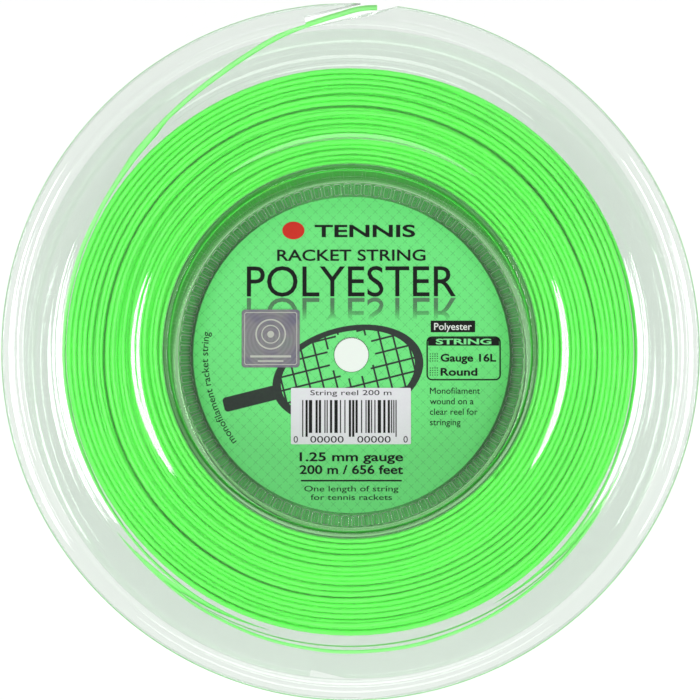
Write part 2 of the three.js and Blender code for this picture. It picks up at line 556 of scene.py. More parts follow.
@dataclass(frozen=True)
class FadingInk(Finish):
    """Grey ink screened away to nothing down the label, as a printed reflection is."""

    name: str = "screened_grey_ink"
    slot: str = "printed_label"
    colour: str = "#5f8f68"
    top: float = 13.4 * MM
    bottom: float = 8.2 * MM

    def surface(self, tree: bpy.types.NodeTree) -> bpy.types.NodeSocket:
        """Grey ink at its top, clear at its bottom."""
        place_on = add_node(tree, "ShaderNodeTexCoord").outputs["Object"]
        parts = add_node(tree, "ShaderNodeSeparateXYZ", links={0: place_on})
        fade = add_node(
            tree,
            "ShaderNodeMapRange",
            links={
                "Value": parts.outputs["Y"],
                "From Min": self.bottom,
                "From Max": self.top,
                "To Min": 0.0,
                "To Max": 0.75,
            },
        )
        ink = add_node(
            tree,
            "ShaderNodeBsdfPrincipled",
            links={"Base Color": linear(self.colour), "Roughness": 0.45, "Alpha": fade.outputs[0]},
        )
        return ink.outputs[0]


@dataclass(frozen=True)
class HolographicFoil(Finish):
    """Embossed metallised film: silver that turns lilac, blue and green over fine rings and a fine screen."""

    name: str = "embossed_holographic_foil"
    slot: str = "holographic_foil"
    # Where each hue lies along the slow clouds: lilac, silver, green grey
    hues: tuple[tuple[float, str], ...] = ((0.3, "#716e80"), (0.52, "#868388"), (0.75, "#7e8783"))
    ring_pitch: float = 0.9 * MM
    ring_depth: float = 0.03 * MM
    cloud: float = 5 * MM
    centre: tuple[float, float] = (-18.9 * MM, 3.8 * MM)

    def surface(self, tree: bpy.types.NodeTree) -> bpy.types.NodeSocket:
        """Rings and slow clouds of colour on brushed silver."""
        place_on = add_node(tree, "ShaderNodeTexCoord").outputs["Object"]
        centred = add_node(
            tree,
            "ShaderNodeMapping",
            links={"Vector": place_on, "Location": (-self.centre[0], -self.centre[1], 0)},
        )
        rings = add_node(
            tree,
            "ShaderNodeTexWave",
            {"wave_type": "RINGS", "rings_direction": "Z"},
            {"Vector": centred.outputs[0], "Scale": 0.314 / self.ring_pitch, "Distortion": 0.0},
        )
        clouds = add_node(
            tree, "ShaderNodeTexNoise", links={"Vector": place_on, "Scale": 1 / self.cloud, "Detail": 2.0}
        )
        hues = add_node(tree, "ShaderNodeValToRGB", links={0: clouds.outputs["Fac"]})
        stops = hues.color_ramp.elements
        stops.new(0.5)
        for stop, (position, colour) in zip(stops, self.hues):
            stop.position = position
            stop.color = linear(colour)
        shaded = add_node(
            tree, "ShaderNodeMapRange", links={"Value": rings.outputs["Fac"], "To Min": 0.84, "To Max": 1.0}
        )
        colour = add_node(
            tree,
            "ShaderNodeMix",
            {"data_type": "RGBA", "blend_type": "MULTIPLY"},
            {0: 1.0, 6: hues.outputs[0], 7: shaded.outputs[0]},
        )
        bump = add_node(
            tree,
            "ShaderNodeBump",
            links={"Height": rings.outputs["Fac"], "Strength": 0.4, "Distance": self.ring_depth},
        )
        shader = add_node(
            tree,
            "ShaderNodeBsdfPrincipled",
            links={
                "Base Color": colour.outputs[2],
                "Metallic": 0.5,
                "Roughness": 0.45,
                "Normal": bump.outputs["Normal"],
            },
        )
        return shader.outputs[0]


@dataclass(frozen=True)
class FoilPrint(Ink):
    """Grey print on the foil seal."""

    slot: str = "holographic_foil"


BLACK_INK = Ink(name="black_screen_ink")
GREY_INK = Ink(name="charcoal_screen_ink", colour="#2f3733", mottled="#3a433e")
RED_INK = Ink(name="red_screen_ink", colour="#dd2a1e", mottled="#e2392b")
WHITE_INK = Ink(name="white_screen_ink", colour="#f4f7f4", mottled="#eef2ef")
GREEN_INK = Ink(name="light_green_screen_ink", colour="#8df59f", mottled="#86ee98")
FOIL_INK = FoilPrint(name="grey_foil_print", colour="#cfcfc6", mottled="#c3c4bd")
PAPER = Ink(
    name="coated_sticker_paper", slot="white_paper", colour="#f2f0f6", mottled="#eeecf3", roughness=0.5
)
PAPER_INK = Ink(name="black_thermal_print", slot="white_paper")
REAR_FILM = Ink(
    name="rear_film_adhesive_side", slot="rear_label_film", colour="#68d86e", mottled="#60ce66", grain=2 * MM
)
CLEAR = ClearPolystyrene()
FROSTED = FrostedPolystyrene()
DRUM_WALL = DrumWallPolystyrene()
STRING = PolyesterString()
# One strand alone lets the light behind it through: that light is painted in as a paler colour than the
# winding's
STRAND_PAINTED_BACKLIGHT = PolyesterString(name="extruded_co_polyester_strand_painted_backlight", colour="#97fa8c", shade="#84f27a")
FILM = PrintedFilm()
FOIL = HolographicFoil()


@dataclass(frozen=True)
class StudioPaper(Finish):
    """A matt white studio floor."""

    name: str = "matt_white_studio_floor"
    slot: str = ""
    colour: str = "#7c7c7c"
    glow: float = 0.84

    def surface(self, tree: bpy.types.NodeTree) -> bpy.types.NodeSocket:
        """White paper on a light table, which also shines up through the clear plastic."""
        shader = add_node(
            tree,
            "ShaderNodeBsdfPrincipled",
            links={
                "Base Color": linear(self.colour),
                "Roughness": 0.9,
                "Emission Color": linear("#ffffff"),
                "Emission Strength": self.glow,
            },
        )
        return shader.outputs[0]


# ---------------------------------------------------------------- camera, floor and lights


@dataclass(frozen=True)
class Softbox:
    """An oval area light: its angles from the axis and round it, distance, size round and along, power."""

    name: str
    tilt: float
    heading: float
    distance: float
    across: float
    along: float
    power: float

    def build(self, target: Vector) -> None:
        """Places the light.

        Args:
            target: The point that it faces.
        """
        lamp = bpy.data.lights.new(self.name, "AREA")
        lamp.shape = "ELLIPSE"
        lamp.size = self.across
        lamp.size_y = self.along
        lamp.energy = self.power
        stand = bpy.data.objects.new(self.name, lamp)
        tilt, heading = math.radians(self.tilt), math.radians(self.heading)
        away = polar(math.sin(tilt), heading, math.cos(tilt))
        stand.matrix_world = facing(target + away * self.distance, away, Vector((0, 0, 1)))
        bpy.context.scene.collection.objects.link(stand)


@dataclass
class Studio:
    """The camera over the label, a white floor, and softboxes round the reel."""

    camera_height: float = 850 * MM
    camera_foot: tuple[float, float] = (13 * MM, -46 * MM)
    sensor: float = 36.0
    seen_width: float = 160.2 * MM
    floor_size: float = 4.0
    world_strength: float = 0.25

    def build(self, face_height: float) -> None:
        """Makes the camera, then the floor and the lights.

        Args:
            face_height: The height of the front rims, which the camera is aimed at.
        """
        self.camera(face_height)
        self.floor()
        self.world()
        centre = Vector((0, 0, face_height))
        for box in (
            Softbox("left_softbox", 21, 180, 1.5, 0.55, 0.2, 4.6),
            Softbox("right_softbox", 21, 0, 1.5, 0.55, 0.2, 4.6),
            Softbox("top_softbox", 27, 90, 1.5, 0.9, 0.3, 2.2),
            Softbox("low_softbox", 52, -90, 1.6, 1.4, 0.5, 8.5),
        ):
            box.build(centre)

    def camera(self, face_height: float) -> None:
        """Places the camera over the reel with the label upright."""
        target = Vector((0, 0, face_height))
        eye = Vector((*self.camera_foot, face_height + self.camera_height))
        lens = bpy.data.cameras.new("camera")
        lens.sensor_width = self.sensor
        lens.lens = self.sensor * (eye - target).length / self.seen_width
        lens.clip_start = 0.01
        camera = bpy.data.objects.new("camera", lens)
        camera.matrix_world = facing(eye, (eye - target).normalized(), Vector((0, 1, 0)))
        bpy.context.scene.collection.objects.link(camera)
        bpy.context.scene.camera = camera

    def floor(self) -> None:
        """Lays the white floor under the rear rim."""
        bm = bmesh.new()
        bmesh.ops.create_grid(bm, x_segments=1, y_segments=1, size=self.floor_size / 2)
        bmesh.ops.translate(bm, verts=bm.verts, vec=(0, 0, -0.05 * MM))
        floor = mesh_piece("studio_floor", bm)
        floor.data.materials.append(StudioPaper().material())

    def world(self) -> None:
        """Fills the room with even white light."""
        scene = bpy.context.scene
        scene.view_settings.view_transform = "Standard"
        world = bpy.data.worlds.new("studio_room")
        scene.world = world
        world.use_nodes = True
        world.node_tree.nodes.clear()
        light = add_node(
            world.node_tree,
            "ShaderNodeBackground",
            links={"Color": linear("#ffffff"), "Strength": self.world_strength},
        )
        add_node(world.node_tree, "ShaderNodeOutputWorld", links={"Surface": light.outputs[0]})


# ---------------------------------------------------------------- the string


@dataclass
class StringTail:
    """The loose last turn and the free end, which lies in the slit of the front flange."""

    diameter: float = 1.25 * MM
    length: float = 0.312
    # Angle in degrees, radius and height in millimetres
    route: tuple[tuple[float, float, float], ...] = (
        (345, 66.25, 33.0),
        (333, 66.7, 32.9),
        (320, 67.5, 32.6),
        (305, 68.3, 32.2),
        (290, 68.8, 31.8),
        (275, 69.0, 31.5),
        (260, 68.8, 31.6),
        (245, 68.2, 32.0),
        (230, 67.3, 32.8),
        (216, 66.5, 34.0),
        (203, 66.25, 35.4),
        (190, 66.25, 37.0),
        (177, 66.25, 38.6),
        (164, 66.25, 39.8),
        (152, 66.3, 40.3),
        (142, 66.7, 40.4),
        (133, 67.6, 40.4),
        (124, 69.0, 40.4),
        (116, 70.6, 40.4),
        (109, 72.5, 40.4),
        (103, 74.5, 40.4),
        (98, 76.0, 40.45),
        (94, 77.15, 40.9),
        (91.5, 77.9, 41.5),
        (89.5, 78.6, 42.1),
        (87.5, 79.1, 42.6),
        (85.5, 79.35, 42.8),
    )

    def points(self) -> list[Vector]:
        """The route's points in the row frame."""
        return [polar(radius * MM, math.radians(angle), height * MM) for angle, radius, height in self.route]

    def build(self) -> None:
        points = self.points()
        data = bpy.data.curves.new("string_free_end", "CURVE")
        data.dimensions = "3D"
        data.bevel_depth = self.diameter / 2
        data.bevel_resolution = 4
        data.resolution_u = 8
        data.use_fill_caps = True
        spline = data.splines.new("BEZIER")
        spline.bezier_points.add(len(points) - 1)
        for knot, point in zip(spline.bezier_points, points):
            knot.co = point
            knot.handle_left_type = knot.handle_right_type = "AUTO"
        piece = bpy.data.objects.new("string_free_end", data)
        bpy.context.scene.collection.objects.link(piece)
        place(piece, STRAND_PAINTED_BACKLIGHT, ("string_tail",))
        tuple(points[0])


@dataclass
class Winding:
    """Two hundred metres of string, as one path laid back from the free end to the drum, layer by layer."""

    tail: StringTail
    whole_length: float = 200.0
    layers: int = 20
    turns_a_layer: float = 29.8
    inner_radius: float = 43.65 * MM
    outer_radius: float = 64.67 * MM
    low: float = 3.9 * MM
    high: float = 40.6 * MM
    climb: float = math.radians(105)
    # Points in a turn, and how near a flange a turn lies to be seen
    seen_steps: int = 96
    hidden_steps: int = 48
    seen_depth: float = 4.2 * MM
    layers_a_piece: int = 4
    # Layers that stop a few turns short of a flange, and how deep the others spread into their room
    short_of_front: tuple[int, ...] = (12, 11)
    short_of_rear: tuple[int, ...] = (7, 6)
    short_turns: float = 2.2
    spread_depth: float = 3.2 * MM
    # The most by which any layer stops short, and how far its turns wave sideways and inwards
    slack: float = 0.55 * MM
    sway: float = 0.32 * MM
    dip: float = 0.48 * MM
    # How near the outermost and the innermost turns the waves die out
    rim_margin: float = 1.6 * MM
    drum_margin: float = 2 * MM
    wave_counts: tuple[int, ...] = (1, 2, 3, 3, 5, 7)
    wave_pitches: tuple[float, float] = (60, 420)
    # How many times shorter the dips' waves are, from layer to layer, than the sideways ones
    dip_pitch: float = 1.7
    # How late in its climb the string reaches the layer's radius
    late: float = 0.6
    # The curve's bevel resolution, which here gives the strand eight sides
    bevel_steps: int = 2
    rng: random.Random = field(default_factory=lambda: random.Random(SEED))

    def __post_init__(self) -> None:
        """Draws the slow waves that the turns lie in."""
        self.waves = [
            (
                count,
                self.rng.uniform(0, 2 * math.pi),
                self.rng.uniform(0, 2 * math.pi),
                self.rng.uniform(*self.wave_pitches),
            )
            for count in self.wave_counts
        ]

    def layer_radius(self, layer: int, height: float) -> float:
        """The radius of a layer at a height.

        Layers that stop short of a flange leave room there, which the others spread into.

        Args:
            layer: The layer's number, from 0 at the drum.
            height: The height above the rear rim.

        Returns:
            The radius of the string's centre line.
        """
        even = self.inner_radius + (self.outer_radius - self.inner_radius) * layer / (self.layers - 1)
        near_front = height > (self.low + self.high) / 2
        short = self.short_of_front if near_front else self.short_of_rear
        if layer in short:
            return even
        depth = self.high - height if near_front else height - self.low
        rank = layer - sum(1 for other in short if other < layer)
        reach = self.layers - 1 - len(short)
        spread = self.inner_radius + (self.outer_radius - self.inner_radius) * rank / reach
        share = 1 - smoothstep(depth / self.spread_depth)
        return even + (spread - even) * share

    def steps(self, layer: int, height: float) -> int:
        """How many points a turn gets: more where it shows."""
        depth = min(self.high - height, height - self.low)
        seen = depth < self.seen_depth or layer >= self.layers - 2
        return self.seen_steps if seen else self.hidden_steps

    def settled(self, radius: float, angle: float, height: float) -> Vector:
        """The place of a point after the turns have settled in gentle waves.

        Args:
            radius: The even radius.
            angle: The angle in radians.
            height: The even height.

        Returns:
            The point in the row frame.
        """
        lift = sink = 0.0
        for count, turn, start, pitch in self.waves:
            lift += math.sin(count * angle + turn + radius * pitch) / len(self.waves)
            sink += math.sin(count * angle + start + self.dip_pitch * radius * pitch) / len(self.waves)
        free = smoothstep((self.outer_radius + self.rim_margin - radius) / self.rim_margin)
        room = smoothstep((radius - self.inner_radius) / self.drum_margin) * free
        radius += self.sway * lift * room
        centre = (self.low + self.high) / 2
        inward = -1 if height > centre else 1
        height += inward * self.dip * abs(sink) * free
        return polar(radius, angle, height)

    def path(self) -> Iterator[tuple[int, Vector]]:
        """Lays the string back from the free end, layer by layer.

        Yields:
            The layer's number and the next point of the string's centre line.
        """
        angle = math.radians(self.tail.route[0][0])
        start_radius = self.tail.route[0][1] * MM
        start_height = self.tail.route[0][2] * MM
        layer = self.layers - 1
        climbed = 0.0
        while climbed < self.climb:
            share = climbed / self.climb
            settling = smoothstep(share * (1 + self.late) - self.late)
            radius = start_radius + (self.outer_radius - start_radius) * settling
            height = start_height + (self.high - start_height) * smoothstep(share)
            yield layer, polar(radius, angle + climbed, height)
            climbed += 2 * math.pi / self.seen_steps
        angle += climbed
        going = -1
        height = self.high
        axial = (self.high - self.low) / self.turns_a_layer
        while layer >= 0:
            short = self.short_of_rear if going < 0 else self.short_of_front
            limit = self.low if going < 0 else self.high
            limit -= going * self.rng.uniform(0, self.slack)
            if layer in short:
                limit -= going * self.short_turns * axial
            while (limit - height) * going > 0:
                yield layer, self.settled(self.layer_radius(layer, height), angle, height)
                step = 2 * math.pi / self.steps(layer, height)
                angle += step
                height += going * axial * step / (2 * math.pi)
            turned = 0.0
            half_turn = math.pi * self.rng.uniform(0.7, 1.3)
            while turned < half_turn:
                share = smoothstep(turned / half_turn)
                here = self.layer_radius(layer, limit)
                under = self.layer_radius(layer - 1, limit) if layer else here
                yield layer, self.settled(here + (under - here) * share, angle, limit)
                step = 2 * math.pi / self.steps(layer, limit)
                angle += step
                turned += step
            height = limit
            going = -going
            layer -= 1

    def build(self, tail_length: float) -> None:
        """Makes the wound string in pieces of a few layers each.

        Args:
            tail_length: The length that the free end takes of the whole.
        """
        left = self.whole_length - tail_length
        groups: dict[int, list[Vector]] = {}
        last: Optional[Vector] = None
        last_group = -1
        for layer, point in self.path():
            group = layer // self.layers_a_piece
            if last is not None:
                left -= (point - last).length
                if group != last_group:
                    groups.setdefault(group, []).append(last)
            if left < 0:
                break
            groups.setdefault(group, []).append(point)
            last, last_group = point, group
        log.info("wound %.2f m of string, stopped in layer %d", self.whole_length - tail_length - left, layer)
        for number, group in enumerate(sorted(groups)):
            self.bundle(f"string_layers_{number + 1}", groups[group], number == 0)

    def bundle(self, name: str, points: list[Vector], stands_for_node: bool) -> None:
        """Makes one run of the string as a closed tube.

        Args:
            name: The piece's name.
            points: Its centre line.
            stands_for_node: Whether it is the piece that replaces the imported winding.
        """
        data = bpy.data.curves.new(name, "CURVE")
        data.dimensions = "3D"
        data.twist_mode = "Z_UP"
        data.bevel_depth = self.tail.diameter / 2
        data.bevel_resolution = self.bevel_steps
        data.use_fill_caps = True
        spline = data.splines.new("POLY")
        spline.points.add(len(points) - 1)
        spline.points.foreach_set("co", [value for point in points for value in (*point, 1.0)])
        curve = bpy.data.objects.new(name, data)
        bpy.context.scene.collection.objects.link(curve)
        piece = baked(curve)
        piece.data.shade_smooth()
        place(piece, STRING, ("string_winding",) if stands_for_node else ())


# ---------------------------------------------------------------- the clear spool


class Side(Enum):
    """Which half of the reel a moulding makes."""

    REAR = "rear_half_spool"
    FRONT = "front_half_spool"


@dataclass(frozen=True)
class Corner:
    """A corner of the moulding's section, in millimetres, with the radius that rounds it."""

    radius: float
    height: float
    rounding: float = 0.0
    segments: int = 4


def flowing(radius: float, height: float) -> Corner:
    """A corner of the flange's soft rings, rounded as far as its edges allow."""
    return Corner(radius, height, 30, 6)


@dataclass
class HalfSpool:
    """One clear half spool. Both halves are the same moulding, and the front one is turned over about X."""

    pockets: int = 104
    pocket_inner: float = 37.6
    pocket_outer: float = 40.35
    pocket_land: float = 0.57
    pocket_frame: float = 0.03
    pocket_corner: float = 0.45
    # How far in and how deep each step of a pocket's wall goes
    pocket_wall: tuple[tuple[float, float], ...] = ((0.04, 0.02), (0.03, 0.1), (0.02, 0.35), (0.03, 0.1))
    web_outer: float = 20.6
    # The radii and heights between which a face belongs to the drum's wall
    wall_band: tuple[float, float] = (40.5, 42.75)
    wall_rise: tuple[float, float] = (1.9, 22.0)
    # The box that cuts the slit for the string's end: its middle, how it is turned, its size and its edges
    slit_angle: float = 85.5
    slit_heading: float = 12.9
    slit_radius: float = 79.7
    slit_size: tuple[float, float, float] = (34.0, 2.7, 12.8)
    slit_edge: float = 0.3
    # Corners of neighbouring sectors this close are one
    weld: float = 0.002
    # Heights run from the outer rim. The web and the cup's wall come first
    section: tuple[Corner, ...] = (
        Corner(4.0, 20.6, 0.2),
        Corner(37.6, 20.6),
        Corner(40.35, 20.6),
        Corner(40.9, 20.6, 0.15),
        Corner(41.44, 1.0, 0.8, 6),
        # The flange's outer side, with two shallow rings and the bead, then the rim
        flowing(48.2, 1.0),
        flowing(50.4, 1.4),
        flowing(66.0, 1.4),
        flowing(67.1, 1.18),
        flowing(68.2, 1.4),
        flowing(69.4, 1.4),
        flowing(74.0, 1.0),
        flowing(75.9, 1.0),
        flowing(78.3, 0.0),
        Corner(80.0, 0.0, 0.5),
        Corner(80.0, 3.2, 0.5),
        # Its inner side, then the drum and the web's other face
        flowing(78.3, 3.2),
        flowing(75.9, 2.5),
        flowing(74.0, 2.5),
        flowing(69.4, 2.9),
        Corner(42.7, 2.9, 0.5),
        Corner(42.2, 22.1, 0.1, 2),
        Corner(4.0, 22.1, 0.2),
    )

    def rounded_section(self, bm: bmesh.types.BMesh) -> None:
        """Draws the section in the XZ plane and rounds its corners.

        Args:
            bm: The empty bmesh, which ends with the section's edges alone.
        """
        verts = [bm.verts.new((c.radius * MM, 0, c.height * MM)) for c in self.section]
        bm.faces.new(verts)
        for corner, vert in zip(self.section, verts):
            if corner.rounding:
                bmesh.ops.bevel(
                    bm,
                    geom=[vert],
                    offset=self.setback(corner) * MM,
                    offset_type="OFFSET",
                    segments=corner.segments,
                    profile=0.5,
                    affect="VERTICES",
                    material=-1,
                )
        bmesh.ops.delete(bm, geom=bm.faces[:], context="FACES_ONLY")

    def setback(self, corner: Corner) -> float:
        """How far back along its edges a corner is cut so that its rounding has the stated radius.

        Args:
            corner: The corner.

        Returns:
            The distance in millimetres, no more than its shorter edge allows.
        """
        at = self.section.index(corner)
        here = Vector((corner.radius, corner.height))
        before = self.section[at - 1]
        after = self.section[(at + 1) % len(self.section)]
        back = Vector((before.radius, before.height)) - here
        ahead = Vector((after.radius, after.height)) - here
        turn = math.pi - back.angle(ahead)
        return min(corner.rounding * math.tan(turn / 2), 0.45 * back.length, 0.45 * ahead.length)

    def pocket_face(self, bm: bmesh.types.BMesh, centre: Vector) -> bmesh.types.BMFace:
        """The face of the web nearest to a pocket's centre."""
        return min(bm.faces, key=lambda face: (face.calc_center_median() - centre).length)

    def sink_pocket(self, bm: bmesh.types.BMesh, angle: float) -> None:
        """Sinks one round-cornered pocket in the web of a sector.

        Args:
            bm: The sector.
            angle: The angle of the pocket's middle.
        """
        middle = polar((self.pocket_inner + self.pocket_outer) / 2 * MM, angle, self.web_outer * MM)
        halves = sorted(bm.faces, key=lambda face: (face.calc_center_median() - middle).length)[:2]
        bmesh.ops.dissolve_faces(bm, faces=halves)
        face = self.pocket_face(bm, middle)
        bmesh.ops.inset_individual(
            bm, faces=[face], thickness=self.pocket_frame * MM, depth=0.0, use_even_offset=True
        )
        corners = sorted(face.verts, key=lambda vert: (vert.co - middle).length)[-4:]
        bmesh.ops.bevel(
            bm,
            geom=corners,
            offset=self.pocket_corner * MM,
            offset_type="OFFSET",
            segments=3,
            profile=0.5,
            affect="VERTICES",
            material=-1,
        )
        face = self.pocket_face(bm, middle)
        face.normal_update()
        inward = 1 if face.normal.z > 0 else -1
        for run, drop in self.pocket_wall:
            wall = bmesh.ops.inset_individual(
                bm, faces=[face], thickness=run * MM, depth=inward * drop * MM, use_even_offset=True
            )
            for side in wall["faces"]:
                side.material_index = 1

    def sector(self) -> tuple[bmesh.types.BMesh, float]:
        """Spins the section through one land and one pocket.

        Returns:
            The sector and the angle that it takes.
        """
        pitch = 2 * math.pi / self.pockets
        land = self.pocket_land / ((self.pocket_inner + self.pocket_outer) / 2)
        bm = bmesh.new()
        self.rounded_section(bm)
        edge = bm.verts[:] + bm.edges[:]
        for angle, steps in ((land, 1), (pitch - land, 2)):
            edge = bmesh.ops.spin(
                bm, geom=edge, cent=(0, 0, 0), axis=(0, 0, 1), dvec=(0, 0, 0), angle=angle, steps=steps
            )["geom_last"]
        for face in bm.faces:
            middle = face.calc_center_median()
            across = math.hypot(middle.x, middle.y) / MM
            in_band = self.wall_band[0] < across < self.wall_band[1]
            if in_band and self.wall_rise[0] < middle.z / MM < self.wall_rise[1]:
                face.material_index = 2
        way = 1 if max((vert.co.y for vert in bm.verts), key=abs) > 0 else -1
        self.sink_pocket(bm, way * (land + (pitch - land) / 2))
        return bm, pitch

    def build(self) -> None:
        """Makes both halves."""
        bm, pitch = self.sector()
        bmesh.ops.spin(
            bm,
            geom=bm.verts[:] + bm.edges[:] + bm.faces[:],
            cent=(0, 0, 0),
            axis=(0, 0, 1),
            dvec=(0, 0, 0),
            angle=pitch * (self.pockets - 1),
            steps=self.pockets - 1,
            use_duplicate=True,
        )
        bmesh.ops.remove_doubles(bm, verts=bm.verts, dist=self.weld * MM)
        bmesh.ops.recalc_face_normals(bm, faces=bm.faces)
        rear = mesh_piece(Side.REAR.value + "_shell", bm, smooth=True)
        for finish in (CLEAR, FROSTED, DRUM_WALL):
            rear.data.materials.append(finish.material())
        rear = self.slit_cut(rear)
        front_mesh = rear.data.copy()
        front_mesh.transform(Matrix.Translation((0, 0, CAD_BOX[1][2])) @ Matrix.Rotation(math.pi, 4, "X"))
        front = bpy.data.objects.new(Side.FRONT.value + "_shell", front_mesh)
        bpy.context.scene.collection.objects.link(front)
        for piece, side in ((rear, Side.REAR), (front, Side.FRONT)):
            weighted = piece.modifiers.new("face_weighted_normals", "WEIGHTED_NORMAL")
            weighted.keep_sharp = True
            place(piece, CLEAR, (side.value,))

    def slit_cut(self, piece: bpy.types.Object) -> bpy.types.Object:
        """Cuts the slit that holds the string's end.

        Args:
            piece: The rear half spool.

        Returns:
            The half spool with its slit.
        """
        bm = bmesh.new()
        size = Matrix.Diagonal((*(side * MM for side in self.slit_size), 1.0))
        turn = Matrix.Rotation(math.radians(self.slit_heading), 4, "Z")
        mouth = polar(self.slit_radius * MM, math.radians(self.slit_angle))
        flip = Matrix.Rotation(math.pi, 4, "X")
        bmesh.ops.create_cube(bm, size=1.0, matrix=flip @ Matrix.Translation(mouth) @ turn @ size)
        tall = self.slit_size[2] / 2 * MM
        upright = [edge for edge in bm.edges if abs(edge.verts[0].co.z - edge.verts[1].co.z) > tall]
        bmesh.ops.bevel(
            bm,
            geom=upright,
            offset=self.slit_edge * MM,
            segments=3,
            profile=0.5,
            affect="EDGES",
            material=-1,
        )
        bmesh.ops.recalc_face_normals(bm, faces=bm.faces)
        cutter = mesh_piece("slit_cutter", bm)
        cut = piece.modifiers.new("slit", "BOOLEAN")
        cut.operation = "DIFFERENCE"
        cut.solver = "EXACT"
        cut.object = cutter
        result = baked(piece)
        bpy.data.objects.remove(cutter)
        return result


# ---------------------------------------------------------------- labels and stickers


# The height of a capital as a share of the type size
CAPITAL_SHARE = 0.729


class Align(Enum):
    """How a line of print sits at its place."""

    LEFT = "LEFT"
    CENTRE = "CENTER"


@dataclass
class Print:
    """Thin solid print of one ink on one face. Sizes and places are in millimetres."""

    name: str
    finish: Finish
    height: float
    thickness: float = 0.02
    bm: bmesh.types.BMesh = field(default_factory=bmesh.new)

    def add(self, part: bmesh.types.BMesh) -> None:
        """Adds a flat part, drawn in millimetres at height zero, as a thin slab.

        Args:
            part: The flat faces, which are freed.
        """
        faces = bmesh.ops.extrude_face_region(part, geom=part.faces[:])
        lifted = [item for item in faces["geom"] if isinstance(item, bmesh.types.BMVert)]
        bmesh.ops.translate(part, verts=lifted, vec=(0, 0, self.thickness))
        bmesh.ops.recalc_face_normals(part, faces=part.faces)
        mesh = bpy.data.meshes.new("part")
        part.to_mesh(mesh)
        part.free()
        self.bm.from_mesh(mesh)
        bpy.data.meshes.remove(mesh)

    def text(
        self,
        words: str,
        x: float,
        y: float,
        cap: float,
        width: Optional[float] = None,
        bold: float = 0.0,
        align: Align = Align.LEFT,
        flip: float = 1.0,
        bend: Optional[tuple[float, float]] = None,
    ) -> None:
        """Prints a line of generic words.

        Args:
            words: The words.
            x: The line's left end, or its middle when centred.
            y: The base line.
            cap: The height of a capital.
            width: The width to fit the line to, or None for the letters' own.
            bold: How far the strokes are fattened, as a share of the height.
            align: How the line sits at x.
            flip: 1 upright, -1 mirrored downwards.
            bend: A radius and a start angle in degrees for a line that runs clockwise round the label.
        """
        font = bpy.data.curves.new("line", "FONT")
        font.body = words
        font.size = 1.0
        font.offset = bold
        font.resolution_u = 4
        line = self.flattened(font)
        bm = bmesh.new()
        bm.from_mesh(line)
        bpy.data.meshes.remove(line)
        bmesh.ops.remove_doubles(bm, verts=bm.verts, dist=1e-5)
        left = min(vert.co.x for vert in bm.verts)
        right = max(vert.co.x for vert in bm.verts)
        tall = cap / CAPITAL_SHARE
        wide = width / (right - left) if width else tall
        start = x - (wide * (right - left) / 2 if align is Align.CENTRE else 0)
        for vert in bm.verts:
            vert.co = Vector((start + (vert.co.x - left) * wide, y + flip * vert.co.y * tall, 0))
            if bend:
                radius, heading = bend
                vert.co = polar(radius + vert.co.y, math.radians(heading) - vert.co.x / radius)
        self.add(bm)

    def flattened(self, font: bpy.types.Curve) -> bpy.types.Mesh:
        """Turns a line of type into a flat mesh.

        Args:
            font: The line, which is removed.

        Returns:
            The flat mesh.
        """
        carrier = bpy.data.objects.new("line", font)
        bpy.context.scene.collection.objects.link(carrier)
        graph = bpy.context.evaluated_depsgraph_get()
        graph.update()
        mesh = bpy.data.meshes.new_from_object(carrier.evaluated_get(graph), depsgraph=graph)
        bpy.data.objects.remove(carrier)
        bpy.data.curves.remove(font)
        return mesh

    def panel(
        self, x: float, y: float, width: float, height: float, corner: float = 0.0, turn: float = 0.0
    ) -> bmesh.types.BMesh:
        """Draws a flat rectangle.

        Args:
            x: Its middle.
            y: Its middle.
            width: Its width.
            height: Its height.
            corner: The radius of its corners.
            turn: How far it is turned, in degrees.

        Returns:
            The flat face.
        """
        bm = bmesh.new()
        bmesh.ops.create_grid(bm, x_segments=1, y_segments=1, size=0.5)
        bmesh.ops.scale(bm, verts=bm.verts, vec=(width, height, 1))
        if corner:
            bmesh.ops.bevel(
                bm,
                geom=bm.verts[:],
                offset=corner,
                offset_type="OFFSET",
                segments=6,
                profile=0.5,
                affect="VERTICES",
                material=-1,
            )
        bmesh.ops.rotate(bm, verts=bm.verts, matrix=Matrix.Rotation(math.radians(turn), 3, "Z"))
        bmesh.ops.translate(bm, verts=bm.verts, vec=(x, y, 0))
        return bm

    def bar(self, *sizes: float) -> None:
        """Prints a solid rectangle, sized as panel says."""
        self.add(self.panel(*sizes))

    def outline(self, x: float, y: float, width: float, height: float, corner: float, line: float) -> None:
        """Prints a rounded frame of a line's width."""
        bm = self.panel(x, y, width, height, corner)
        inset = bmesh.ops.inset_region(bm, faces=bm.faces[:], thickness=line, use_boundary=True)
        inner = [face for face in bm.faces if face not in set(inset["faces"])]
        bmesh.ops.delete(bm, geom=inner, context="FACES")
        self.add(bm)

    def disc(
        self, x: float, y: float, radius: float, hole: float = 0.0, flatten: float = 1.0, turn: float = 0.0
    ) -> None:
        """Prints a disc, a ring or an oval.

        Args:
            x: Its middle.
            y: Its middle.
            radius: Its outer radius.
            hole: The radius of its hole, or zero.
            flatten: Its height as a share of its width.
            turn: How far it is turned, in degrees.
        """
        bm = bmesh.new()
        bmesh.ops.create_circle(bm, cap_ends=True, segments=72, radius=radius)
        if hole:
            inset = bmesh.ops.inset_region(bm, faces=bm.faces[:], thickness=radius - hole, use_boundary=True)
            inner = [face for face in bm.faces if face not in set(inset["faces"])]
            bmesh.ops.delete(bm, geom=inner, context="FACES")
        bmesh.ops.scale(bm, verts=bm.verts, vec=(1, flatten, 1))
        bmesh.ops.rotate(bm, verts=bm.verts, matrix=Matrix.Rotation(math.radians(turn), 3, "Z"))
        bmesh.ops.translate(bm, verts=bm.verts, vec=(x, y, 0))
        self.add(bm)

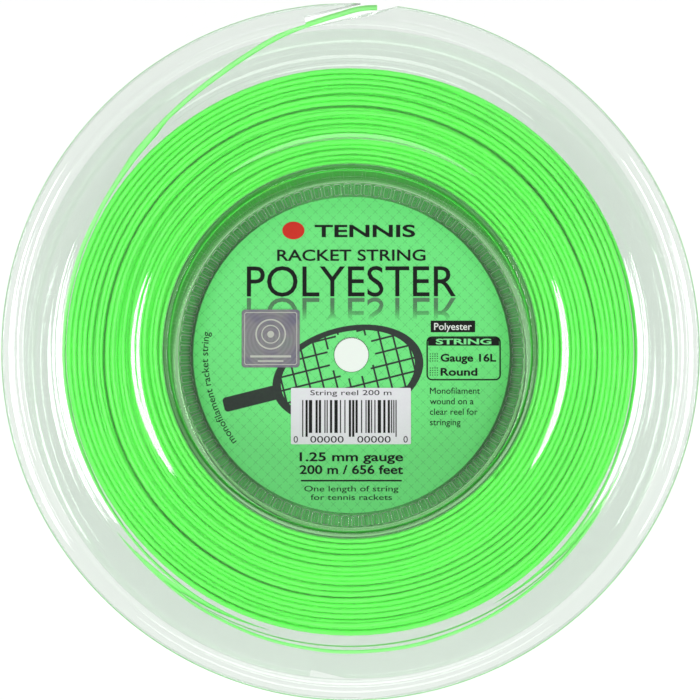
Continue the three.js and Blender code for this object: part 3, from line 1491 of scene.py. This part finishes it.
    def build(self) -> None:
        """Sets the print on its face and makes it a piece."""
        bmesh.ops.scale(self.bm, verts=self.bm.verts, vec=(MM, MM, MM))
        bmesh.ops.translate(self.bm, verts=self.bm.verts, vec=(0, 0, self.height))
        place(mesh_piece(self.name, self.bm), self.finish)


@dataclass
class RacketMotif:
    """A plain racket head with crossed strings, the label's large picture. Sizes are in millimetres."""

    centre: tuple[float, float] = (-0.8, -4.6)
    half_width: float = 18.0
    flatten: float = 0.62
    turn: float = 14.0
    rim: float = 2.0
    string: float = 0.42
    pitch: float = 3.1
    bore_room: float = 5.6
    grip_length: float = 13.0
    grip_width: float = 3.4

    def strings(self) -> Iterator[tuple[float, float, bool]]:
        """Finds each string's span inside the rim.

        Yields:
            Its place across the head, its length, and whether it runs lengthways.
        """
        wide = self.half_width - self.rim / 2
        tall = wide * self.flatten
        for lengthways, along, across in ((True, wide, tall), (False, tall, wide)):
            count = int(across / self.pitch)
            for number in range(-count, count + 1):
                offset = number * self.pitch
                reach = along * math.sqrt(max(0.0, 1 - (offset / across) ** 2))
                if reach > self.pitch / 2:
                    yield offset, 2 * reach, lengthways

    def draw(self, rim: Print, mains: Print, crosses: Print) -> None:
        """Prints the motif, leaving the bore clear.

        Args:
            rim: The print of the rim.
            mains: The print of the lengthways strings, over the rim.
            crosses: The print of the other strings and the grip, over both.
        """
        rim.disc(*self.centre, self.half_width, self.half_width - self.rim, self.flatten, self.turn)
        spin = Matrix.Rotation(math.radians(self.turn), 2)
        for offset, length, lengthways in self.strings():
            ink = mains if lengthways else crosses
            place_on = spin @ Vector((0, offset) if lengthways else (offset, 0))
            heading = self.turn + (0 if lengthways else 90)
            for middle, span in self.clear_of_bore(place_on, heading, length):
                ink.bar(middle.x, middle.y, span, self.string, 0.0, heading)
        tip = spin @ Vector((-self.half_width - self.grip_length / 2 + self.rim / 2, 0))
        crosses.bar(
            self.centre[0] + tip.x, self.centre[1] + tip.y, self.grip_length, self.grip_width, 0.8, self.turn
        )

    def clear_of_bore(
        self, place_on: Vector, heading: float, length: float
    ) -> Iterator[tuple[Vector, float]]:
        """Splits a string where it would cross the bore.

        Args:
            place_on: The string's middle, from the motif's centre.
            heading: Its direction in degrees.
            length: Its length.

        Yields:
            The middle and the length of each stretch that stays clear.
        """
        way = Vector((math.cos(math.radians(heading)), math.sin(math.radians(heading))))
        middle = Vector(self.centre) + place_on
        foot = -middle.dot(way)
        miss = (middle + way * foot).length
        if miss > self.bore_room:
            yield middle, length
            return
        gap = math.sqrt(self.bore_room**2 - miss**2)
        for low, high in ((-length / 2, foot - gap), (foot + gap, length / 2)):
            if high - low > self.string:
                yield middle + way * (low + high) / 2, high - low


@dataclass
class FrontLabel:
    """The front label's film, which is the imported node, and its generic print."""

    ink_gap: float = 0.015 * MM
    ink_step: float = 0.022 * MM

    def build(self) -> None:
        """Dresses the film and prints on it."""
        dress("front_label", FILM)
        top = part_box("front_label")[1].z + self.ink_gap
        self.picture(top)
        self.lines(top + 3 * self.ink_step)
        self.boxes(top + 3 * self.ink_step)

    def picture(self, height: float) -> None:
        """Prints the large grey motif.

        Args:
            height: The height of the print's underside.
        """
        names = ("label_print_racket", "label_print_mains", "label_print_crosses")
        layers = [Print(name, GREY_INK, height + level * self.ink_step) for level, name in enumerate(names)]
        RacketMotif().draw(*layers)
        for layer in layers:
            layer.build()

    def lines(self, height: float) -> None:
        """Prints the lines of words, the red spot and the rule."""
        black = Print("label_print_black", BLACK_INK, height)
        black.text("TENNIS", -8.6, 27.7, 2.9, 23.6, 0.02)
        black.text("RACKET STRING", 0, 22.1, 2.7, 34.8, 0.012, Align.CENTRE)
        black.text("POLYESTER", 0, 13.7, 7.5, 49.0, 0.0, Align.CENTRE)
        for row, words in enumerate(("Monofilament", "wound on a", "clear reel for", "stringing")):
            black.text(words, 18.4, -9.2 - 2.45 * row, 1.55)
        black.text("1.25 mm gauge", 0, -24.9, 2.1, 24.2, 0.018, Align.CENTRE)
        black.text("200 m / 656 feet", 0, -27.9, 2.1, 24.2, 0.018, Align.CENTRE)
        black.bar(0, -29.5, 23.6, 0.35)
        black.text("One length of string", 0, -32.0, 1.35, 22.0, 0.0, Align.CENTRE)
        black.text("for tennis rackets", 0, -34.0, 1.35, 19.0, 0.0, Align.CENTRE)
        black.text("monofilament racket string", 0, 0, 1.75, 27.0, 0.0, bend=(33.6, 217))
        black.build()
        mirrored = Print("label_print_reflection", FadingInk(), height)
        mirrored.text("POLYESTER", 0, 13.3, 7.5, 49.0, 0.0, Align.CENTRE, flip=-1.0)
        mirrored.build()
        red = Print("label_print_red", RED_INK, height)
        red.disc(-13.6, 29.2, 2.6, 0.0, 0.8)
        red.build()

    def boxes(self, height: float) -> None:
        """Prints the small box and the framed box on the label's right."""
        black = Print("label_boxes_black", BLACK_INK, height)
        black.bar(23.8, 6.6, 10.4, 2.7)
        black.outline(26.3, -0.9, 17.4, 10.3, 1.3, 0.32)
        black.bar(26.3, 3.0, 16.6, 1.8)
        black.text("Gauge 16L", 20.9, -1.6, 1.8, 13.0, 0.025)
        black.text("Round", 20.9, -4.9, 1.8, 8.6, 0.025)
        for left, low in ((18.5, -1.5), (18.5, -4.8)):
            for column in range(4):
                for row in range(4):
                    black.bar(left + 0.55 * column, low + 0.55 * row, 0.22, 0.22)
        black.build()
        white = Print("label_print_white", WHITE_INK, height + self.ink_step)
        white.text("Polyester", 23.8, 5.8, 1.7, 8.8, 0.008, Align.CENTRE)
        white.build()
        green = Print("label_print_green", GREEN_INK, height + self.ink_step)
        green.text("STRING", 26.3, 2.45, 1.3, 13.0, 0.03, Align.CENTRE)
        green.build()


@dataclass
class Stickers:
    """The silver seal and the white sticker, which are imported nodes, with their print."""

    seal_centre: tuple[float, float] = (-18.9, 3.8)
    sticker_centre: tuple[float, float] = (-0.1, -14.4)
    ink_gap: float = 0.015 * MM
    bar_module: float = 0.26

    def build(self) -> None:
        """Dresses both and prints on them."""
        dress("security_seal", FOIL)
        dress("barcode_sticker", PAPER)
        self.seal_print(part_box("security_seal")[1].z + self.ink_gap)
        self.bar_print(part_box("barcode_sticker")[1].z + self.ink_gap)

    def seal_print(self, height: float) -> None:
        """Prints the seal's plain rings, two bars and a rounded frame."""
        x, y = self.seal_centre
        ink = Print("seal_print", FOIL_INK, height)
        ink.disc(x, y + 1.0, 3.6, 3.25)
        ink.disc(x, y + 1.0, 2.2, 1.95)
        ink.disc(x, y + 1.0, 0.8)
        ink.bar(x, y - 4.2, 9.6, 0.5)
        ink.bar(x, y - 5.3, 6.0, 0.35)
        ink.outline(x, y, 12.4, 12.4, 0.6, 0.18)
        ink.build()

    def bar_print(self, height: float) -> None:
        """Prints the sticker's bars, a plain line of words and placeholder digits."""
        x, y = self.sticker_centre
        rng = random.Random(SEED + 1)
        ink = Print("sticker_print", PAPER_INK, height)
        ink.text("String reel 200 m", x, y + 4.9, 1.25, 19.0, 0.0, Align.CENTRE)
        edge = x - 11.4
        while edge < x + 11.2:
            bar = self.bar_module * rng.choice((1, 1, 2, 3))
            long = edge < x - 10.6 or edge > x + 10.4 or abs(edge - x) < 0.5
            ink.bar(edge + bar / 2, y - (0.55 if long else 0.1), bar, 8.6 if long else 7.7)
            edge += bar + self.bar_module * rng.choice((1, 1, 2, 3))
        digits = (("0", -12.9, 1.0), ("00000", -5.6, 7.8), ("00000", 5.4, 7.8), ("0", 12.8, 1.0))
        for words, middle, width in digits:
            ink.text(words, x + middle, y - 6.2, 1.6, width, 0.0, Align.CENTRE)
        ink.build()


# ---------------------------------------------------------------- the reel


def main() -> None:
    """Builds the camera, the string, the spool and the labels."""
    logging.basicConfig(level=logging.INFO, format="%(name)s: %(message)s")
    Studio().build(CAD_BOX[1][2])
    tail = StringTail()
    tail.build()
    HalfSpool().build()
    Winding(tail).build(tail.length)
    FrontLabel().build()
    dress("rear_label", REAR_FILM)
    Stickers().build()


if __name__ == "__main__":
    main()
